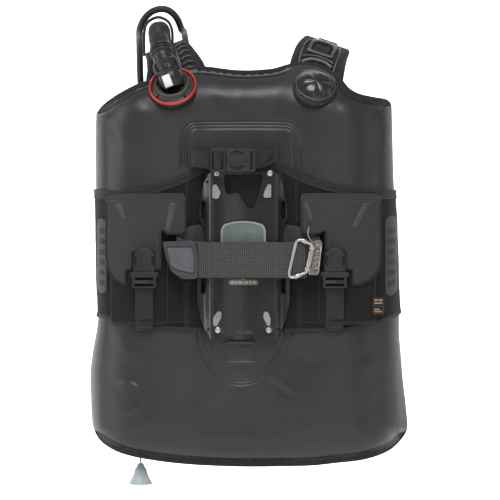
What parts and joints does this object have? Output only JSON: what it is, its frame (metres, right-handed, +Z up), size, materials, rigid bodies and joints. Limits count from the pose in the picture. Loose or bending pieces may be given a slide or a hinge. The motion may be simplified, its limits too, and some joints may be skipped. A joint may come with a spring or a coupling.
{
  "type": "buoyancy compensator vest",
  "caption": "Back-inflation buoyancy compensator vest with a welded air cell, tank saddle plate, cam band, trim pockets, moulded shoulder straps and an inflator hose.",
  "frame": {"origin": "centre of the tank saddle, on its surface", "axes": "+Z up along the tank, +X towards the wearer's right, +Y from the tank towards the wearer"},
  "size_m": [0.449, 0.2694, 0.6764],
  "materials": {
    "cell_fabric": "satin coated",
    "black_webbing": "woven",
    "band_webbing": "coarse woven",
    "black_plastic": "satin gloss",
    "red_plastic": "gloss",
    "grey_rubber": "matte",
    "grip_rubber": "matte",
    "toggle_plastic": "matte",
    "button_plastic": "matte",
    "black_rubber": "satin",
    "steel": "polished",
    "brass_chrome": "polished",
    "badge_metal": "brushed",
    "cordura": "coarse woven",
    "pad_fabric": "knit",
    "strap_moulding": "satin",
    "cord_fabric": "braided"
  },
  "bodies": {
    "vest": {"air_cell": "cell_fabric", "back_pad": "pad_fabric", "backpack_plate": "black_plastic", "badge_plate": "badge_metal", "band_grip": "grip_rubber", "cam_buckle_plate": "steel", "chest_buckle_female": "black_plastic", "chest_strap_left": "black_webbing", "chest_strap_right": "black_webbing", "cord_guide": "black_webbing", "corrugated_hose": "black_rubber", "d_ring_keepers": "black_plastic", "elbow_body": "black_plastic", "elbow_flange": "black_plastic", "elbow_ring": "red_plastic", "flap_strap_left": "black_webbing", "flap_strap_right": "black_webbing", "harness_panel": "pad_fabric", "hose_keeper": "black_webbing", "inflator_body": "black_plastic", "lower_dump_valve": "black_plastic", "lp_hose": "black_rubber", "lp_hose_fittings": "brass_chrome", "mouthpiece": "black_rubber", "plate_screws": "steel", "saddle_pads": "grey_rubber", "shoulder_buckles_female": "black_plastic", "shoulder_strap_left": "strap_moulding", "shoulder_strap_right": "strap_moulding", "shoulder_valve_base": "black_plastic", "shoulder_valve_cap": "black_plastic", "shoulder_webbing_left": "black_webbing", "shoulder_webbing_right": "black_webbing", "side_panels": "cordura", "tank_band": "band_webbing", "top_buckle_female": "black_plastic", "top_strap_left": "black_webbing", "top_strap_right": "black_webbing", "trim_pockets": "cordura", "waist_buckle_female": "black_plastic", "waist_strap_left": "black_webbing", "waist_strap_right": "black_webbing"},
    "cam_bail": {"cam_buckle_bail": "steel"},
    "top_latch": {"top_buckle_male": "black_plastic"},
    "flap_left": {"pocket_flap_left": "cordura", "flap_buckle_female_left": "black_plastic"},
    "flap_right": {"pocket_flap_right": "cordura", "flap_buckle_female_right": "black_plastic"},
    "flap_latch_left": {"flap_buckle_male_left": "black_plastic"},
    "flap_latch_right": {"flap_buckle_male_right": "black_plastic"},
    "dump_pull": {"dump_toggle": "toggle_plastic", "dump_cord": "cord_fabric"},
    "inflate_key": {"inflate_button": "button_plastic"},
    "deflate_key": {"deflate_button": "button_plastic"},
    "shoulder_latch_left": {"shoulder_buckle_male_left": "black_plastic"},
    "shoulder_latch_right": {"shoulder_buckle_male_right": "black_plastic"},
    "chest_latch": {"chest_buckle_male": "black_plastic"},
    "waist_latch": {"waist_buckle_male": "black_plastic"},
    "ring_left": {"d_ring_left": "steel"},
    "ring_right": {"d_ring_right": "steel"}
  },
  "joints": [
    {"name": "cam_bail_hinge", "type": "hinge", "parent": "vest", "child": "cam_bail", "pos_m": [0.092, -0.027, 0.002], "axis": [0.225, 0, 0.9744], "range_deg": [0, 110]},
    {"name": "top_buckle_slide", "type": "slide", "parent": "vest", "child": "top_latch", "axis": [-1, 0, 0], "range_m": [0, 0.028], "deforming": ["top_strap_left"]},
    {"name": "flap_hinge_left", "type": "hinge", "parent": "vest", "child": "flap_left", "pos_m": [-0.1325, -0.016, 0.086], "axis": [-1, 0, 0], "range_deg": [0, 120]},
    {"name": "flap_hinge_right", "type": "hinge", "parent": "vest", "child": "flap_right", "pos_m": [0.1325, -0.016, 0.086], "axis": [-1, 0, 0], "range_deg": [0, 120]},
    {"name": "flap_buckle_slide_left", "type": "slide", "parent": "vest", "child": "flap_latch_left", "axis": [0, 0, -1], "range_m": [0, 0.028], "deforming": ["flap_strap_left"]},
    {"name": "flap_buckle_slide_right", "type": "slide", "parent": "vest", "child": "flap_latch_right", "axis": [0, 0, -1], "range_m": [0, 0.028], "deforming": ["flap_strap_right"]},
    {"name": "dump_toggle_slide", "type": "slide", "parent": "vest", "child": "dump_pull", "axis": [0, 0, -1], "range_m": [0, 0.018], "stiffness_N_per_m": 300, "springref_m": -0.002},
    {"name": "inflate_button_slide", "type": "slide", "parent": "vest", "child": "inflate_key", "axis": [0, -1, 0], "range_m": [0, 0.003], "stiffness_N_per_m": 600, "springref_m": -0.001},
    {"name": "deflate_button_slide", "type": "slide", "parent": "vest", "child": "deflate_key", "axis": [0, 0, 1], "range_m": [0, 0.004], "stiffness_N_per_m": 600, "springref_m": -0.001},
    {"name": "shoulder_buckle_slide_left", "type": "slide", "parent": "vest", "child": "shoulder_latch_left", "axis": [0, 0, -1], "range_m": [0, 0.04], "deforming": ["shoulder_webbing_left"]},
    {"name": "shoulder_buckle_slide_right", "type": "slide", "parent": "vest", "child": "shoulder_latch_right", "axis": [0, 0, -1], "range_m": [0, 0.04], "deforming": ["shoulder_webbing_right"]},
    {"name": "chest_buckle_slide", "type": "slide", "parent": "vest", "child": "chest_latch", "axis": [1, 0, 0], "range_m": [0, 0.028], "deforming": ["chest_strap_right"]},
    {"name": "waist_buckle_slide", "type": "slide", "parent": "vest", "child": "waist_latch", "axis": [1, 0, 0], "range_m": [0, 0.038], "deforming": ["waist_strap_right"]},
    {"name": "d_ring_hinge_left", "type": "hinge", "parent": "vest", "child": "ring_left", "pos_m": [-0.1715, 0.14, -0.1252], "axis": [0, 1, 0], "range_deg": [-45, 45]},
    {"name": "d_ring_hinge_right", "type": "hinge", "parent": "vest", "child": "ring_right", "pos_m": [0.1715, 0.14, -0.1252], "axis": [0, 1, 0], "range_deg": [-45, 45]}
  ]
}
